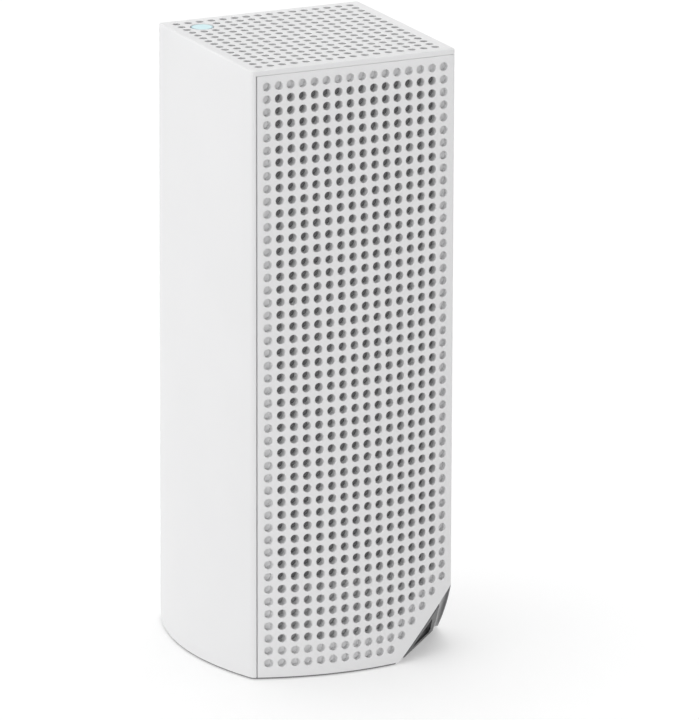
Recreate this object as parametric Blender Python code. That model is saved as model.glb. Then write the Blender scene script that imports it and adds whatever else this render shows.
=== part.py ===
"""A square Wi-Fi tower that stands on a table, as the separate pieces it is assembled from.

The tower is symmetric about the upright plane through two of its corners: the moulded shell makes the
top and the two smooth sides (-X and +Y), and one vented panel makes the two others (-Y and +X). Each
side is flat at the top and swells outwards towards the table. The cables leave through a cut in the
corner between the vented sides. The sockets, the power rocker and the reset button face down into a
bay in the base. Origin: middle of the footprint, on the table. +Z is up.
"""

import math

import bmesh
import bpy
from mathutils import Matrix, Vector

# Overall shape
HEIGHT = 0.1854
CORNER_HALF = 0.03283  # from the middle to a side at the corners, the same at every height
BASE_BULGE = 0.0068  # how far the middle of a side stands out past its corners at the table
CORNER_ROUND = 0.001
SIDE_COLUMNS = 8
SIDE_LEVELS = 6

# Walls, gaps and seams
WALL = 0.0023
TOP_WALL = 0.0023
FIT = 0.0003  # gap between two pieces that touch
SEAM = 0.0004  # open line between the shell and the vented panel
SHELL_BAND = 0.0012  # how far the shell wraps on to a vented side
RIM = 0.00155  # height of the shell above the vented panel
LIFT = 0.0006  # from the table to the lower edge of the walls
HOOK = 0.0002  # how far the vented panel's edge reaches in behind the wall

# Cut in the corner for the cables
NOTCH_HEIGHT = 0.0206
SILL_WIDTH = 0.0012
SILL_TOP = 0.002

# Base with the bay for the sockets
SKIRT = 0.0015
BASE_PLATE = 0.0022
BAY_RIDGE = 0.0093  # from the corners' line in to the bay, on the smooth sides
MOUTH_RIDGE = 0.0063  # the same on the vented sides, at the bay's mouth
BAY_WALL = 0.0016
BAY_TOP = 0.0285
CEILING = 0.002
FOOT_HEIGHT = 0.001
FOOT_MARGIN = 0.0012  # from the foot to the edges of the base plate
NOTCH_TO_FOOT = 0.0025

# Sockets, switch and button, which hang from the lower board
JACK_LENGTH = 0.0132
JACK_RECESS = 0.0005
ETHERNET = (0.016, 0.0136)
ETHERNET_BORE = (0.0119, 0.0069, 0.0112)
ETHERNET_LATCH = (0.0062, 0.0022, 0.0100)
DC_BODY = (0.009, 0.011)
DC_BORE = 0.0063
DC_PIN = 0.0021
DC_DEPTH = 0.0098
JACK_SPACING = 0.001
DC_SPACING = 0.0025
JACK_TO_BAY = 0.0035
SOCKET_ROW = 0.0135  # from the bay's back wall to the middle of the sockets
CONTROL_ROW = 0.0335  # from the bay's back wall to the middle of the switch and the button

SWITCH_BODY = (0.0135, 0.0085, 0.0125)
SWITCH_FLANGE = (0.0155, 0.0105, 0.0010)
SWITCH_WELL = (0.0118, 0.0064, 0.0073)
SWITCH_TO_BAY = 0.0115
ROCKER_LENGTH = 0.0104
ROCKER_TOP = 0.0015
ROCKER_END_DROP = 0.0036
ROCKER_MIDDLE_DROP = 0.0024
ROCKER_TILT = math.radians(8)  # to each side of level
PIVOT_ABOVE_FLANGE = 0.0028
PIVOT_PIN = 0.0015

BUTTON_DIAMETER = 0.003
BUTTON_FLANGE = 0.0046
BUTTON_FLANGE_HEIGHT = 0.001
BUTTON_OUT = 0.0008
BUTTON_GAP = 0.0008  # from the button to the nub that it presses
BUTTON_TO_BAY = 0.0315
TACT_SIZE = 0.006
TACT_HEIGHT = 0.0034
NUB_DIAMETER = 0.0033
NUB_HEIGHT = 0.0009

# Boards
BOARD = 0.0016
IO_MARGIN = 0.0045

# Screws
LEG_DIAMETER = 0.006
LEG_TO_BAY = 0.0032
LEG_TO_MOUTH = 0.002
SCREW_SHANK = 0.0024
SCREW_HEAD = 0.005
SCREW_HEAD_HEIGHT = 0.0016
SCREW_SLOT = (0.003, 0.0008)
SCREW_LENGTH = 0.0095

# Inner frame
FRAME_TO_WALL = 0.0015
POST = 0.005
FRAME_PLATE = 0.0025
FRAME_RING = 0.003
FRAME_OPENING = 0.020
ABOVE_IO_BOARD = 0.0019
FRAME_TO_TOP = 0.0142  # from the frame to the underside of the shell's top
LEAD_HOLE = 0.004

# Main board, shields, pads and heatsinks
BOARD_TO_FRAME = 0.001
BOARD_ABOVE_FRAME = 0.0015
BOARD_BELOW_FRAME = 0.004
SHIELDS = [  # name, side of the board, height as a share of the board's, size
    ("processor", -1, 0.55, 0.024),
    ("radio_1", -1, 0.22, 0.018),
    ("radio_2", 1, 0.70, 0.020),
    ("radio_3", 1, 0.30, 0.020),
]
SHIELD_HEIGHT = 0.002
PAD_HEIGHT = 0.001
PAD_SHARE = 0.8  # of the shield's size
MEMORY_CHIP = (0.009, 0.001)
MEMORY_AT = (0.014, 0.78)  # from the middle, and height as a share of the board's
SINK_PLATE = 0.003
SINK_FINS = 9
SINK_FIN = 0.0014
SINK_DEPTH = 0.013
SINK_IN = 0.001
SINK_SHORT = 0.006
SINK_SCREW = 0.002
SINK_SCREW_HEAD = 0.004
SINK_SCREW_HEAD_HEIGHT = 0.0014
SINK_SCREW_IN = 0.004
CONNECTOR = (0.030, 0.005)

# Antennas and leads
ANTENNA = 0.0006
ANTENNA_WIDTH = 0.012
TOP_ANTENNA = (0.018, 0.008)
LEAD_RADIUS = 0.00055
LEAD_HEIGHT = 0.003  # of the leads below the main board's upper edge
LEAD_OFF_BOARD = 0.0018

# Status light
WINDOW_DIAMETER = 0.0065
WINDOW_RECESS = 0.0001
WINDOW_FLANGE = 0.0095
WINDOW_FLANGE_HEIGHT = 0.0012
HOLE_PITCH = 0.00381  # of the vent holes, which the window is placed on
WINDOW_INDEX = 6  # pitches from the middle of the top to the window
GRID_SHIFT = 0.00018  # how far the hole grid in the top lies towards the smooth sides
GUIDE_DIAMETER = 0.0055
LED_BOARD = (0.012, 0.001)
LED = (0.0032, 0.001)

LABEL = (0.026, 0.0003, 0.013)

BIG = 0.2

# Places that follow from the sizes
SHELL_INNER = CORNER_HALF - WALL
TRAY_HALF = SHELL_INNER - FIT
BAY_BACK = CORNER_HALF - BAY_RIDGE
MOUTH_FRONT = CORNER_HALF - MOUTH_RIDGE
TRAY_TOP = BAY_TOP + CEILING
JACK_BOTTOM = BAY_TOP + JACK_RECESS
JACK_TOP = JACK_BOTTOM + JACK_LENGTH
IO_BOTTOM = JACK_TOP + FIT
IO_TOP = IO_BOTTOM + BOARD
SOCKET_Y = BAY_BACK - SOCKET_ROW
CONTROL_Y = BAY_BACK - CONTROL_ROW
FRAME_HALF = SHELL_INNER - FRAME_TO_WALL
FRAME_INNER = FRAME_HALF - POST
FRAME_BOTTOM = IO_TOP + ABOVE_IO_BOARD
FRAME_TOP = HEIGHT - TOP_WALL - FRAME_TO_TOP
BOARD_BOTTOM = FRAME_BOTTOM + FRAME_PLATE + BOARD_ABOVE_FRAME
BOARD_TOP = FRAME_TOP - FRAME_PLATE - BOARD_BELOW_FRAME
BOARD_HALF = FRAME_INNER - BOARD_TO_FRAME
RING_BOTTOM = (BOARD_BOTTOM + BOARD_TOP - FRAME_RING) / 2
WINDOW_AT = WINDOW_INDEX * HOLE_PITCH + GRID_SHIFT
LEGS = [
    (x, y)
    for x in (-BAY_BACK + LEG_TO_BAY, MOUTH_FRONT - LEG_TO_MOUTH)
    for y in (BAY_BACK - LEG_TO_BAY, -MOUTH_FRONT + LEG_TO_MOUTH)
]
SINK_BOTTOM = BOARD_BOTTOM + SINK_SHORT
SINK_TOP = BOARD_TOP - SINK_SHORT
SINK_HALF = BOARD_HALF - SINK_IN
SINK_FACE = BOARD / 2 + FIT + SHIELD_HEIGHT + FIT + PAD_HEIGHT + FIT  # from the board's middle


# ---------------------------------------------------------------- scene and materials


def clear_scene():
    for obj in list(bpy.data.objects):
        bpy.data.objects.remove(obj)


def new_collection(name):
    collection = bpy.data.collections.new(name)
    bpy.context.scene.collection.children.link(collection)
    return collection


def material(name, colour, roughness, metallic=0.0):
    mat = bpy.data.materials.new(name)
    mat.use_nodes = True
    shader = mat.node_tree.nodes["Principled BSDF"]
    shader.inputs["Base Color"].default_value = (*colour, 1)
    shader.inputs["Roughness"].default_value = roughness
    shader.inputs["Metallic"].default_value = metallic
    return mat


def add(name, mesh, finish=None):
    """An object of this mesh: a part if it has a finish, a cutter if not."""
    obj = bpy.data.objects.new(name, mesh)
    (PARTS if finish else CUTTERS).objects.link(obj)
    if finish:
        obj.data.materials.append(finish)
    else:
        obj.hide_render = True
        obj.display_type = "WIRE"
    return obj


# ---------------------------------------------------------------- shapes


def box(name, low, high, finish=None):
    low, high = Vector(low), Vector(high)
    size = high - low
    bm = bmesh.new()
    bmesh.ops.create_cube(bm, size=1, matrix=Matrix.Diagonal((*size, 1)))
    mesh = bpy.data.meshes.new(name)
    bm.to_mesh(mesh)
    bm.free()
    obj = add(name, mesh, finish)
    obj.location = (low + high) / 2
    return obj


def block(name, centre, size, low, high, finish=None):
    """A box from its middle and size in plan and its two heights."""
    x, y = centre
    half_x, half_y = size[0] / 2, size[1] / 2
    return box(name, (x - half_x, y - half_y, low), (x + half_x, y + half_y, high), finish)


def cylinder(name, diameter, centre, low, high, finish=None, sides=20):
    bm = bmesh.new()
    bmesh.ops.create_cone(
        bm, cap_ends=True, segments=sides, radius1=diameter / 2, radius2=diameter / 2, depth=high - low
    )
    mesh = bpy.data.meshes.new(name)
    bm.to_mesh(mesh)
    bm.free()
    mesh.shade_smooth()
    mesh.set_sharp_from_angle(angle=math.radians(40))
    obj = add(name, mesh, finish)
    obj.location = (*centre, (low + high) / 2)
    return obj


def outline(name, points, thickness, finish=None):
    """A flat outline in XY, extruded by half the thickness to each side of z = 0."""
    curve = bpy.data.curves.new(name, "CURVE")
    curve.dimensions = "2D"
    curve.fill_mode = "BOTH"
    curve.extrude = thickness / 2
    spline = curve.splines.new("POLY")
    spline.points.add(len(points) - 1)
    for point, (x, y) in zip(spline.points, points):
        point.co = (x, y, 0, 1)
    spline.use_cyclic_u = True
    return solid_from_curve(name, curve, finish)


def solid_from_curve(name, curve, finish):
    guide = bpy.data.objects.new(name + "_guide", curve)
    CUTTERS.objects.link(guide)
    bpy.context.view_layer.update()
    graph = bpy.context.evaluated_depsgraph_get()
    mesh = bpy.data.meshes.new_from_object(guide.evaluated_get(graph))
    mesh.name = name
    bm = bmesh.new()
    bm.from_mesh(mesh)
    bmesh.ops.remove_doubles(bm, verts=bm.verts, dist=1e-6)
    bmesh.ops.recalc_face_normals(bm, faces=bm.faces)
    bm.to_mesh(mesh)
    bm.free()
    bpy.data.objects.remove(guide)
    return add(name, mesh, finish)


def tube(name, route, radius, finish, steps=3):
    """A wire through the route's points, eased by a Catmull-Rom curve."""
    curve = bpy.data.curves.new(name, "CURVE")
    curve.dimensions = "3D"
    curve.bevel_depth = radius
    curve.bevel_resolution = 1
    curve.use_fill_caps = True
    points = eased([Vector(point) for point in route], steps)
    spline = curve.splines.new("POLY")
    spline.points.add(len(points) - 1)
    for point, place in zip(spline.points, points):
        point.co = (*place, 1)
    curve.materials.append(finish)
    obj = bpy.data.objects.new(name, curve)
    PARTS.objects.link(obj)
    return obj


def eased(route, steps):
    ends = [2 * route[0] - route[1], *route, 2 * route[-1] - route[-2]]
    points = [route[0]]
    for before, start, end, after in zip(ends, ends[1:], ends[2:], ends[3:]):
        for step in range(1, steps + 1):
            t = step / steps
            points.append(
                (
                    2 * start
                    + (end - before) * t
                    + (2 * before - 5 * start + 4 * end - after) * t * t
                    + (3 * start - before - 3 * end + after) * t**3
                )
                / 2
            )
    return points


def bulge(z):
    """How far the middle of a side stands out past its corners at height z."""
    down = (HEIGHT - z) / HEIGHT
    return BASE_BULGE * down * (3 - down) / 2


def side_at(z, half, across):
    """From the tower's axis to a side, at this height and this far from the side's middle line."""
    return half + bulge(z) * (1 - (across / half) ** 2)


def envelope(name, half, low, high, columns=SIDE_COLUMNS, levels=SIDE_LEVELS, rounded=0, finish=None):
    """The tower's outer shape, or that shape drawn in to a smaller half width at the corners."""
    bm = bmesh.new()
    bmesh.ops.create_cube(bm, size=2)
    for axis, count in ((0, columns), (1, columns), (2, levels)):
        normal = Vector([float(axis == i) for i in range(3)])
        for step in range(1, count):
            geometry = bm.verts[:] + bm.edges[:] + bm.faces[:]
            bmesh.ops.bisect_plane(
                bm, geom=geometry, plane_co=normal * (2 * step / count - 1), plane_no=normal
            )
    for vertex in bm.verts:
        u, v, w = vertex.co
        z = low + (w + 1) / 2 * (high - low)
        vertex.co = (u * side_at(z, half, v * half), v * side_at(z, half, u * half), z)
    for level in (low, high):
        cap = [face for face in bm.faces if all(abs(vertex.co.z - level) < 1e-6 for vertex in face.verts)]
        bmesh.ops.dissolve_faces(bm, faces=cap)
    bm.normal_update()
    if rounded:
        corners = [edge for edge in bm.edges if is_corner(edge, half)]
        rim = [edge for edge in bm.edges if all(vertex.co.z > high - 1e-6 for vertex in edge.verts)]
        bmesh.ops.bevel(
            bm,
            geom=corners + rim,
            offset=rounded,
            segments=2,
            profile=0.5,
            affect="EDGES",
            clamp_overlap=True,
        )
    bmesh.ops.triangulate(bm, faces=[face for face in bm.faces if len(face.verts) == 4])
    mesh = bpy.data.meshes.new(name)
    bm.to_mesh(mesh)
    bm.free()
    mesh.shade_smooth()
    mesh.set_sharp_from_angle(angle=math.radians(40))
    return add(name, mesh, finish)


def is_corner(edge, half):
    return all(abs(abs(v.co.x) - half) < 1e-6 and abs(abs(v.co.y) - half) < 1e-6 for v in edge.verts)


# ---------------------------------------------------------------- joining and cutting


def boolean(obj, operation, *others):
    for other in others:
        modifier = obj.modifiers.new(f"{operation.lower()} {other.name}", "BOOLEAN")
        modifier.operation = operation
        modifier.object = other
        modifier.solver = "EXACT"
    return obj


def cut(obj, *cutters):
    return boolean(obj, "DIFFERENCE", *cutters)


def join(obj, *others):
    return boolean(obj, "UNION", *others)


def keep(obj, *others):
    return boolean(obj, "INTERSECT", *others)


# ---------------------------------------------------------------- shared cutters


def notch_plane():
    """A point on the plane that cuts off the corner, and its normal, which points out and down."""
    corner = Vector((CORNER_HALF, -CORNER_HALF, NOTCH_HEIGHT))
    foot_x = CORNER_HALF - NOTCH_HEIGHT
    foot_front = Vector((foot_x, -side_at(0, CORNER_HALF, foot_x), 0))
    foot_side = Vector((-foot_front.y, -foot_x, 0))
    normal = (foot_front - corner).cross(foot_side - corner).normalized()
    return corner, (-normal if normal.z > 0 else normal)


def half_space(name, point, normal):
    """Everything on the side of the plane through this point that the normal points to."""
    cutter = box(name, (-BIG / 2,) * 3, (BIG / 2,) * 3)
    cutter.rotation_euler = normal.to_track_quat("X", "Z").to_euler()
    cutter.location = point + normal * BIG / 2
    return cutter


def notch_cutter(name, inward=0.0):
    """Everything past the plane that cuts off the corner, or past that plane moved inward."""
    point, normal = notch_plane()
    return half_space(name, point - normal * inward, normal)


def wall_notch(name):
    """The opening in the vented walls, which are each cut square to their own side, at 45 degrees."""
    corner, _ = notch_plane()
    front = half_space(name, corner, Vector((1, 0, -1)).normalized())
    return keep(front, half_space(f"{name}_side", corner, Vector((0, -1, -1)).normalized()))


def vented_zone(name, edge, inner, top):
    """The two vented walls as an L in plan: edge is where they end, inner how deep they reach."""
    far = BIG / 2
    points = [(-edge, -far), (far, -far), (far, edge), (inner, edge), (inner, -inner), (-edge, -inner)]
    zone = outline(name, points, BIG)
    zone.location.z = top - BIG / 2
    return zone


# ---------------------------------------------------------------- casing


def make_shell():
    shell = envelope("main_shell", CORNER_HALF, LIFT, HEIGHT, rounded=CORNER_ROUND, finish=WHITE)
    hollow = envelope("shell_hollow", SHELL_INNER, -CORNER_HALF, HEIGHT - TOP_WALL)
    edge = CORNER_HALF - SHELL_BAND
    zone = vented_zone("shell_zone", edge, SHELL_INNER - HOOK - SEAM, HEIGHT - RIM)
    low, high = HEIGHT - 2 * TOP_WALL, HEIGHT + TOP_WALL
    window = cylinder("window_hole", WINDOW_DIAMETER + 2 * FIT, (-WINDOW_AT, WINDOW_AT), low, high)
    return cut(shell, hollow, zone, window)


def make_vent_panel():
    panel = envelope("vent_panel", CORNER_HALF, LIFT, HEIGHT, rounded=CORNER_ROUND, finish=WHITE)
    above = HEIGHT + CORNER_HALF
    hollow = envelope("panel_hollow", SHELL_INNER, -CORNER_HALF, above, levels=2 * SIDE_LEVELS)
    edge = CORNER_HALF - SHELL_BAND - SEAM
    zone = vented_zone("panel_zone", edge, SHELL_INNER - HOOK, HEIGHT - RIM - FIT)
    keep(panel, zone)
    return cut(panel, hollow, wall_notch("panel_notch"))


def make_window():
    under_top = HEIGHT - TOP_WALL - FIT
    centre = (-WINDOW_AT, WINDOW_AT)
    low, high = under_top - WINDOW_FLANGE_HEIGHT / 2, HEIGHT - WINDOW_RECESS
    window = cylinder("status_window", WINDOW_DIAMETER, centre, low, high, CLEAR)
    flange = cylinder("window_flange", WINDOW_FLANGE, centre, under_top - WINDOW_FLANGE_HEIGHT, under_top)
    return join(window, flange)


# ---------------------------------------------------------------- base


def make_base_tray():
    tray = envelope("base_tray", TRAY_HALF, LIFT, TRAY_TOP, levels=2, finish=GREY)
    plate_top = LIFT + BASE_PLATE
    bay = envelope("bay_hollow", TRAY_HALF - SKIRT, plate_top, BAY_TOP, levels=2)
    keep(bay, box("bay_limits", (-BAY_BACK, -BIG, -BIG), (BIG, BAY_BACK, BIG)))
    mouth = box("bay_mouth", (-BAY_BACK, -MOUTH_FRONT, -BIG), (MOUTH_FRONT, BAY_BACK, plate_top + BAY_WALL))
    cut(mouth, notch_cutter("mouth_sill", SILL_WIDTH))
    ridge = envelope("ridge_hollow", TRAY_HALF - SKIRT, plate_top, TRAY_TOP + BAY_WALL, levels=2)
    cut(ridge, box("bay_block", (-BAY_BACK - BAY_WALL, -BIG, -BIG), (BIG, BAY_BACK + BAY_WALL, BIG)))
    cut(tray, bay, mouth, ridge, sill_relief(plate_top + FIT), notch_cutter("tray_notch"))
    for name, centre, size in socket_places():
        cut(tray, block(f"{name}_opening", centre, grown(size), BAY_TOP - CEILING, TRAY_TOP + CEILING))
    low, high = BAY_TOP - WALL, TRAY_TOP + WALL
    cut(tray, cylinder("button_opening", BUTTON_DIAMETER + 2 * FIT, button_place(), low, high))
    for index, leg in enumerate(LEGS, 1):
        cut(tray, cylinder(f"leg_opening_{index}", SCREW_SHANK + 2 * FIT, leg, low, high))
    return cut(tray, foot_ring("foot_groove", FOOT_HEIGHT + FIT, FIT))


def sill_relief(top):
    """Lowers the base plate along the corner cut, which leaves a sill across its foot."""
    relief = envelope("sill_relief", TRAY_HALF - SKIRT - FIT, SILL_TOP, top, levels=2)
    return keep(relief, notch_cutter("relief_limits", 2 * SILL_WIDTH))


def foot_ring(name, top, spare, finish=None):
    """The foot, or its groove with the spare gap around it: a ring that ends short of the corner cut."""
    ring = envelope(name, TRAY_HALF - FOOT_MARGIN + spare, 0, top, levels=2, finish=finish)
    low = -BAY_BACK - FOOT_MARGIN + spare
    high = MOUTH_FRONT + FOOT_MARGIN - spare
    middle = box(f"{name}_middle", (low, -high, -BIG), (high, -low, BIG))
    return cut(ring, middle, notch_cutter(f"{name}_notch", NOTCH_TO_FOOT - spare))


def make_foot():
    return foot_ring("rubber_foot", FOOT_HEIGHT, 0, RUBBER)


def make_label():
    x, y, z = LABEL
    middle = (SILL_TOP + BAY_TOP) / 2
    back = BAY_BACK - FIT
    return box("blank_label", (-x / 2, back - y, middle - z / 2), (x / 2, back, middle + z / 2), PAPER)


def make_screw(name, centre, underside, finish):
    """A cross-head screw driven upwards, with its head under the given height."""
    recess_top = underside - SCREW_HEAD_HEIGHT / 2
    screw = cylinder(name, SCREW_SHANK, centre, recess_top, underside + SCREW_LENGTH, finish, 12)
    head = cylinder(f"{name}_head", SCREW_HEAD, centre, underside - SCREW_HEAD_HEIGHT, underside, sides=16)
    join(screw, head)
    for index, size in enumerate((SCREW_SLOT, SCREW_SLOT[::-1]), 1):
        cut(screw, block(f"{name}_slot_{index}", centre, size, underside - 2 * SCREW_HEAD_HEIGHT, recess_top))
    return screw


# ---------------------------------------------------------------- sockets and controls


def grown(size):
    return tuple(side + 2 * FIT for side in size)


def ethernet_places():
    first = -BAY_BACK + JACK_TO_BAY + ETHERNET[0] / 2
    return [(first, SOCKET_Y), (first + ETHERNET[0] + JACK_SPACING, SOCKET_Y)]


def dc_place():
    last = ethernet_places()[-1][0]
    return last + ETHERNET[0] / 2 + DC_SPACING + DC_BODY[0] / 2, SOCKET_Y


def switch_place():
    return -BAY_BACK + SWITCH_TO_BAY, CONTROL_Y


def button_place():
    return -BAY_BACK + BUTTON_TO_BAY, CONTROL_Y


def socket_places():
    sockets = [(f"ethernet_{index}", place, ETHERNET) for index, place in enumerate(ethernet_places(), 1)]
    return [*sockets, ("dc", dc_place(), DC_BODY), ("switch", switch_place(), SWITCH_BODY[:2])]


def make_ethernet_jack(name, centre):
    x, y = centre
    jack = block(name, centre, ETHERNET, JACK_BOTTOM, JACK_TOP, BLACK)
    wide, deep, length = ETHERNET_BORE
    bore = block(f"{name}_bore", centre, (wide, deep), JACK_BOTTOM - length, JACK_BOTTOM + length)
    latch_wide, latch_deep, latch_length = ETHERNET_LATCH
    latch_centre = (x, y - deep / 2 - latch_deep / 2 + FIT)
    latch_size = (latch_wide, latch_deep + FIT)
    low, high = JACK_BOTTOM - latch_length, JACK_BOTTOM + latch_length
    latch = block(f"{name}_latch", latch_centre, latch_size, low, high)
    return cut(jack, bore, latch)


def make_dc_jack():
    centre = dc_place()
    jack = block("dc_power_jack", centre, DC_BODY, JACK_BOTTOM, JACK_TOP, BLACK)
    bore = cylinder("dc_bore", DC_BORE, centre, JACK_BOTTOM - DC_DEPTH, JACK_BOTTOM + DC_DEPTH, sides=24)
    pin_low, pin_high = JACK_BOTTOM + DC_PIN, JACK_BOTTOM + DC_DEPTH + DC_PIN / 2
    pin = cylinder("dc_pin", DC_PIN, centre, pin_low, pin_high, sides=12)
    return join(cut(jack, bore), pin)


def flange_bottom():
    return BAY_TOP - FIT - SWITCH_FLANGE[2]


def pivot():
    return Vector((*switch_place(), flange_bottom() + PIVOT_ABOVE_FLANGE))


def make_switch_body():
    centre = switch_place()
    low = flange_bottom()
    body_low, body_high = low + SWITCH_FLANGE[2] / 2, low + SWITCH_BODY[2]
    body = block("power_switch_body", centre, SWITCH_BODY, body_low, body_high, BLACK)
    flange = block("switch_flange", centre, SWITCH_FLANGE, low, low + SWITCH_FLANGE[2])
    well = block("switch_well", centre, SWITCH_WELL, low - SWITCH_WELL[2], low + SWITCH_WELL[2])
    holes = across_y("switch_pin_holes", PIVOT_PIN + 2 * FIT, SWITCH_BODY[1] - WALL / 2)
    return cut(join(body, flange), well, holes)


def across_y(name, diameter, length):
    """A round bar along the rocker's axis."""
    bar = cylinder(name, diameter, (0, 0), -length / 2, length / 2, sides=12)
    bar.rotation_euler = (math.radians(90), 0, 0)
    bar.location = pivot()
    return bar


def make_rocker():
    half = ROCKER_LENGTH / 2
    points = [
        (-half, -ROCKER_END_DROP),
        (0, -ROCKER_MIDDLE_DROP),
        (half, -ROCKER_END_DROP),
        (half, 0),
        (half - ROCKER_TOP, ROCKER_TOP),
        (ROCKER_TOP - half, ROCKER_TOP),
        (-half, 0),
    ]
    rocker = outline("power_rocker", points, SWITCH_WELL[1] - 2 * FIT, BLACK)
    rocker.rotation_euler = (math.radians(90), -ROCKER_TILT, 0)
    rocker.location = pivot()
    return join(rocker, across_y("rocker_pins", PIVOT_PIN, SWITCH_BODY[1] - WALL / 2 - 2 * FIT))


def nub_bottom():
    return JACK_TOP - TACT_HEIGHT - NUB_HEIGHT


def make_button():
    centre = button_place()
    tip, end = BAY_TOP - BUTTON_OUT, nub_bottom() - BUTTON_GAP
    button = cylinder("reset_button", BUTTON_DIAMETER, centre, tip, end, RED, sides=16)
    low = TRAY_TOP + FIT
    flange = cylinder("button_flange", BUTTON_FLANGE, centre, low, low + BUTTON_FLANGE_HEIGHT, sides=16)
    return join(button, flange)


def make_tact():
    centre = button_place()
    size = (TACT_SIZE, TACT_SIZE)
    tact = block("reset_tact_switch", centre, size, JACK_TOP - TACT_HEIGHT, JACK_TOP, BLACK)
    nub = cylinder("tact_nub", NUB_DIAMETER, centre, nub_bottom(), JACK_TOP - TACT_HEIGHT / 2, sides=16)
    return join(tact, nub)


def make_io_board():
    low, high = -BAY_BACK + LEG_TO_BAY - IO_MARGIN, MOUTH_FRONT - LEG_TO_MOUTH + IO_MARGIN
    board = box("io_board", (low, -high, IO_BOTTOM), (high, -low, IO_TOP), GREEN)
    hole = LEG_DIAMETER + 2 * FIT
    for index, leg in enumerate(LEGS, 1):
        cut(board, cylinder(f"board_hole_{index}", hole, leg, IO_BOTTOM - WALL, IO_TOP + WALL))
    return board


# ---------------------------------------------------------------- frame and main board


def lead_holes():
    """Where the top antennas' leads and the light's cable pass through the frame's top plate."""
    half, quarter = FRAME_OPENING / 2, FRAME_OPENING / 4
    return [(-quarter, -half), (quarter, half), (-half, half)]


def make_frame():
    half, inner, opening = FRAME_HALF, FRAME_INNER, FRAME_OPENING
    frame = box("inner_frame", (-half, -half, FRAME_BOTTOM), (half, half, FRAME_TOP), DARK)
    floor, roof = FRAME_BOTTOM + FRAME_PLATE, FRAME_TOP - FRAME_PLATE
    cut(frame, box("frame_core", (-inner, -inner, floor), (inner, inner, roof)))
    cut(frame, box("frame_opening", (-opening, -opening, 0), (opening, opening, floor + WALL)))
    for index, (low, high) in enumerate(((floor, RING_BOTTOM), (RING_BOTTOM + FRAME_RING, roof)), 1):
        cut(frame, box(f"frame_sides_x_{index}", (-BIG, -inner, low), (BIG, inner, high)))
        cut(frame, box(f"frame_sides_y_{index}", (-inner, -BIG, low), (inner, BIG, high)))
    for index, hole in enumerate(lead_holes(), 1):
        cut(frame, cylinder(f"lead_hole_{index}", LEAD_HOLE, hole, roof - WALL, FRAME_TOP + WALL, sides=12))
    for index, leg in enumerate(LEGS, 1):
        leg_top = FRAME_BOTTOM + FRAME_PLATE / 2
        join(frame, cylinder(f"leg_{index}", LEG_DIAMETER, leg, TRAY_TOP + FIT, leg_top, sides=16))
        pilot_top = BAY_TOP - FIT + SCREW_LENGTH + FIT
        cut(frame, cylinder(f"pilot_{index}", SCREW_SHANK + 2 * FIT, leg, BAY_TOP, pilot_top, sides=12))
    return frame


def make_main_board():
    half = BOARD / 2
    board = box("main_board", (-BOARD_HALF, -half, BOARD_BOTTOM), (BOARD_HALF, half, BOARD_TOP), GREEN)
    for index, place in enumerate(sink_screw_places(), 1):
        cut(board, sink_bolt(f"board_bolt_{index}", place))
    return board


def make_connector():
    x, y = CONNECTOR
    low, high = (-x / 2, -y / 2, IO_TOP + FIT), (x / 2, y / 2, BOARD_BOTTOM - FIT)
    return box("board_connector", low, high, BLACK)


def sink_screw_places():
    x = SINK_HALF - SINK_SCREW_IN
    heights = (SINK_BOTTOM + SINK_SCREW_IN, SINK_TOP - SINK_SCREW_IN)
    return [(side * x, z) for side in (-1, 1) for z in heights]


def along_y(name, diameter, place, low, high, finish=None, sides=12):
    """A round bar along Y, from low to high in Y, at this x and z."""
    bar = cylinder(name, diameter, (0, 0), -(high - low) / 2, (high - low) / 2, finish, sides)
    bar.rotation_euler = (math.radians(90), 0, 0)
    bar.location = (place[0], (low + high) / 2, place[1])
    return bar


def sink_bolt(name, place):
    return along_y(name, SINK_SCREW + 2 * FIT, place, -BIG, BIG)


def make_heatsink(name, side):
    """A finned plate on one face of the main board: side is -1 in front, 1 behind."""
    half = SINK_HALF
    face, back, tips = side * SINK_FACE, side * (SINK_FACE + SINK_PLATE), side * (SINK_FACE + SINK_DEPTH)
    near, far = sorted((face, tips))
    sink = box(name, (-half, near, SINK_BOTTOM), (half, far, SINK_TOP), ANODISED)
    near, far = sorted((back, side * BIG))
    pitch = (2 * half - SINK_FIN) / (SINK_FINS - 1)
    for index in range(SINK_FINS - 1):
        left = -half + index * pitch + SINK_FIN
        right = left + pitch - SINK_FIN
        cut(sink, box(f"{name}_slot_{index}", (left, near, -BIG), (right, far, BIG)))
    near, far = sorted((back - side * FIT, side * BIG))
    for index, place in enumerate(sink_screw_places(), 1):
        cut(sink, sink_bolt(f"{name}_bolt_{index}", place))
        cut(sink, along_y(f"{name}_head_{index}", SINK_SCREW_HEAD + 2 * FIT, place, near, far))
    return sink


def make_sink_screw(name, place):
    head_low = -(SINK_FACE + SINK_PLATE + FIT + SINK_SCREW_HEAD_HEIGHT)
    head_high = head_low + SINK_SCREW_HEAD_HEIGHT
    shank_low = head_high - SINK_SCREW_HEAD_HEIGHT / 2
    screw = along_y(name, SINK_SCREW, place, shank_low, SINK_FACE + SINK_PLATE, STEEL)
    return join(screw, along_y(f"{name}_top", SINK_SCREW_HEAD, place, head_low, head_high))


def up_board(share):
    """The height at this share of the way up the main board."""
    return BOARD_BOTTOM + share * (BOARD_TOP - BOARD_BOTTOM)


def make_shields():
    near = BOARD / 2 + FIT
    far = near + SHIELD_HEIGHT
    for name, side, share, size in SHIELDS:
        z = up_board(share)
        slab(f"shield_{name}", side, 0, z, size, near, far, TIN)
        slab(f"thermal_pad_{name}", side, 0, z, PAD_SHARE * size, far + FIT, far + FIT + PAD_HEIGHT, PAD)


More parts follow.
